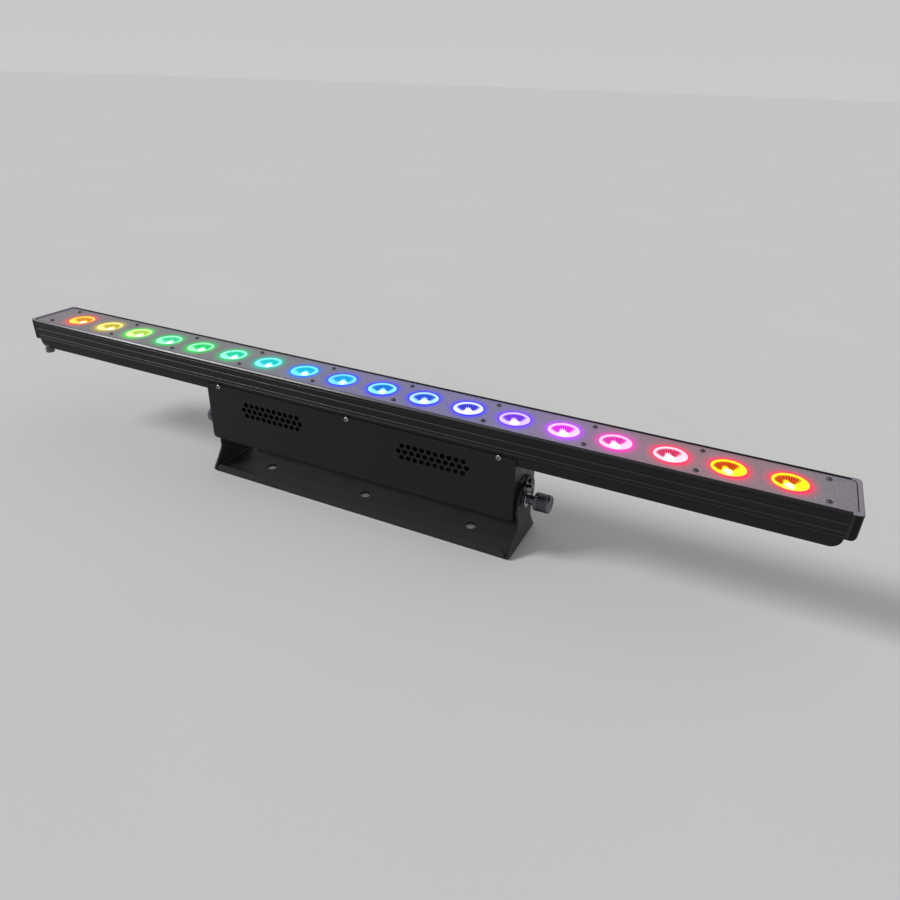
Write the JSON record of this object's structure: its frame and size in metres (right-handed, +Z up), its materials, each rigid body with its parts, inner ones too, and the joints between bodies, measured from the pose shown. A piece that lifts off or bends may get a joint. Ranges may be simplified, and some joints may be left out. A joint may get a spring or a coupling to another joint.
{
  "type": "led strip batten",
  "caption": "Slim lit stage bar with a row of round lenses, on a vented driver box that tilts between the arms of a low floor bracket.",
  "frame": {"origin": "on the floor plane under the middle of the bracket base", "axes": "+X along the bar, -Y towards the vented front of the driver box, +Z up towards the lenses"},
  "size_m": [1, 0.0764, 0.1485],
  "materials": {
    "black_paint": "satin black powder coat, fine texture",
    "black_aluminium": "extruded and cast aluminium with a satin black powder coat",
    "plate": "satin anodised, light grey",
    "bracket": "satin black powder coat",
    "steel": "bright zinc-plated steel",
    "dark_metal": "dark knurled metal",
    "nylon": "black nylon",
    "aluminium": "plain folded aluminium case",
    "board": "white solder mask on a metal-core board",
    "holder": "black moulded plastic",
    "green_board": "green circuit board",
    "plastic": "black moulded plastic",
    "window": "tinted clear window",
    "vent_plug": "light grey moulded plastic",
    "fuse_red": "dark red moulded plastic",
    "lens_01": "clear moulded lens, lit from behind",
    "lens_02": "clear moulded lens, lit from behind",
    "lens_03": "clear moulded lens, lit from behind",
    "lens_04": "clear moulded lens, lit from behind",
    "lens_05": "clear moulded lens, lit from behind",
    "lens_06": "clear moulded lens, lit from behind",
    "lens_07": "clear moulded lens, lit from behind",
    "lens_08": "clear moulded lens, lit from behind",
    "lens_09": "clear moulded lens, lit from behind",
    "lens_10": "clear moulded lens, lit from behind",
    "lens_11": "clear moulded lens, lit from behind",
    "lens_12": "clear moulded lens, lit from behind",
    "lens_13": "clear moulded lens, lit from behind",
    "lens_14": "clear moulded lens, lit from behind",
    "lens_15": "clear moulded lens, lit from behind",
    "lens_16": "clear moulded lens, lit from behind",
    "lens_17": "clear moulded lens, lit from behind",
    "lens_18": "clear moulded lens, lit from behind"
  },
  "bodies": {
    "bracket": {"yoke_bracket": "bracket"},
    "head": {"back_cover": "black_paint", "bar_housing": "black_aluminium", "breather_plug": "vent_plug", "control_board": "green_board", "control_panel": "plastic", "cover_screw_1": "steel", "cover_screw_2": "steel", "cover_screw_3": "steel", "display_window": "window", "dmx_in_socket": "plastic", "dmx_out_socket": "plastic", "driver_box": "black_paint", "end_cap_left": "black_aluminium", "end_cap_right": "black_aluminium", "face_plate": "plate", "friction_washer_left": "nylon", "friction_washer_right": "nylon", "fuse_holder": "plastic", "guide_bolt_left": "steel", "guide_bolt_right": "steel", "led_board_centre": "board", "led_board_left": "board", "led_board_right": "board", "lens_01": "lens_01", "lens_02": "lens_02", "lens_03": "lens_03", "lens_04": "lens_04", "lens_05": "lens_05", "lens_06": "lens_06", "lens_07": "lens_07", "lens_08": "lens_08", "lens_09": "lens_09", "lens_10": "lens_10", "lens_11": "lens_11", "lens_12": "lens_12", "lens_13": "lens_13", "lens_14": "lens_14", "lens_15": "lens_15", "lens_16": "lens_16", "lens_17": "lens_17", "lens_18": "lens_18", "lens_holder": "holder", "pivot_nut_left": "steel", "pivot_nut_right": "steel", "power_inlet": "plastic", "power_outlet": "plastic", "power_supply": "aluminium", "vented_front_cover": "black_paint"},
    "right_washer": {"knob_washer_right": "steel"},
    "right_knob": {"knob_right": "dark_metal"},
    "left_washer": {"knob_washer_left": "steel"},
    "left_knob": {"knob_left": "dark_metal"},
    "latch": {"dmx_latch": "steel"},
    "fuse_carrier": {"fuse_cap": "fuse_red"},
    "button_1": {"menu_button_1": "nylon"},
    "button_2": {"menu_button_2": "nylon"},
    "button_3": {"menu_button_3": "nylon"},
    "button_4": {"menu_button_4": "nylon"}
  },
  "joints": [
    {"name": "tilt", "type": "hinge", "parent": "bracket", "child": "head", "pos_m": [0, 0, 0.0575], "axis": [1, 0, 0], "range_deg": [-50, 50]},
    {"name": "right_knob_draw", "type": "slide", "parent": "head", "child": "right_washer", "axis": [1, 0, 0], "range_m": [0, 0.0025]},
    {"name": "right_knob_turn", "type": "hinge", "parent": "right_washer", "child": "right_knob", "pos_m": [0.2045, 0, 0.0575], "axis": [1, 0, 0], "range_deg": [0, 720]},
    {"name": "left_knob_draw", "type": "slide", "parent": "head", "child": "left_washer", "axis": [-1, 0, 0], "range_m": [0, 0.0025]},
    {"name": "left_knob_turn", "type": "hinge", "parent": "left_washer", "child": "left_knob", "pos_m": [-0.2045, 0, 0.0575], "axis": [-1, 0, 0], "range_deg": [0, 720]},
    {"name": "menu_button_1_press", "type": "slide", "parent": "head", "child": "button_1", "axis": [0, -1, 0], "range_m": [0, 0.001], "stiffness_N_per_m": 500, "springref_m": -0.001},
    {"name": "menu_button_2_press", "type": "slide", "parent": "head", "child": "button_2", "axis": [0, -1, 0], "range_m": [0, 0.001], "stiffness_N_per_m": 500, "springref_m": -0.001},
    {"name": "menu_button_3_press", "type": "slide", "parent": "head", "child": "button_3", "axis": [0, -1, 0], "range_m": [0, 0.001], "stiffness_N_per_m": 500, "springref_m": -0.001},
    {"name": "menu_button_4_press", "type": "slide", "parent": "head", "child": "button_4", "axis": [0, -1, 0], "range_m": [0, 0.001], "stiffness_N_per_m": 500, "springref_m": -0.001},
    {"name": "dmx_latch_press", "type": "slide", "parent": "head", "child": "latch", "axis": [0, -1, 0], "range_m": [0, 0.0012], "stiffness_N_per_m": 500, "springref_m": -0.001},
    {"name": "fuse_cap_turn", "type": "hinge", "parent": "head", "child": "fuse_carrier", "pos_m": [-0.165, 0.0358, 0.079], "axis": [0, 1, 0], "range_deg": [0, 90]}
  ],
  "couplings": [
    {"joint": "right_knob_turn", "follows": "right_knob_draw", "rad_per_m": 5026.5},
    {"joint": "left_knob_turn", "follows": "left_knob_draw", "rad_per_m": 5026.5}
  ]
}
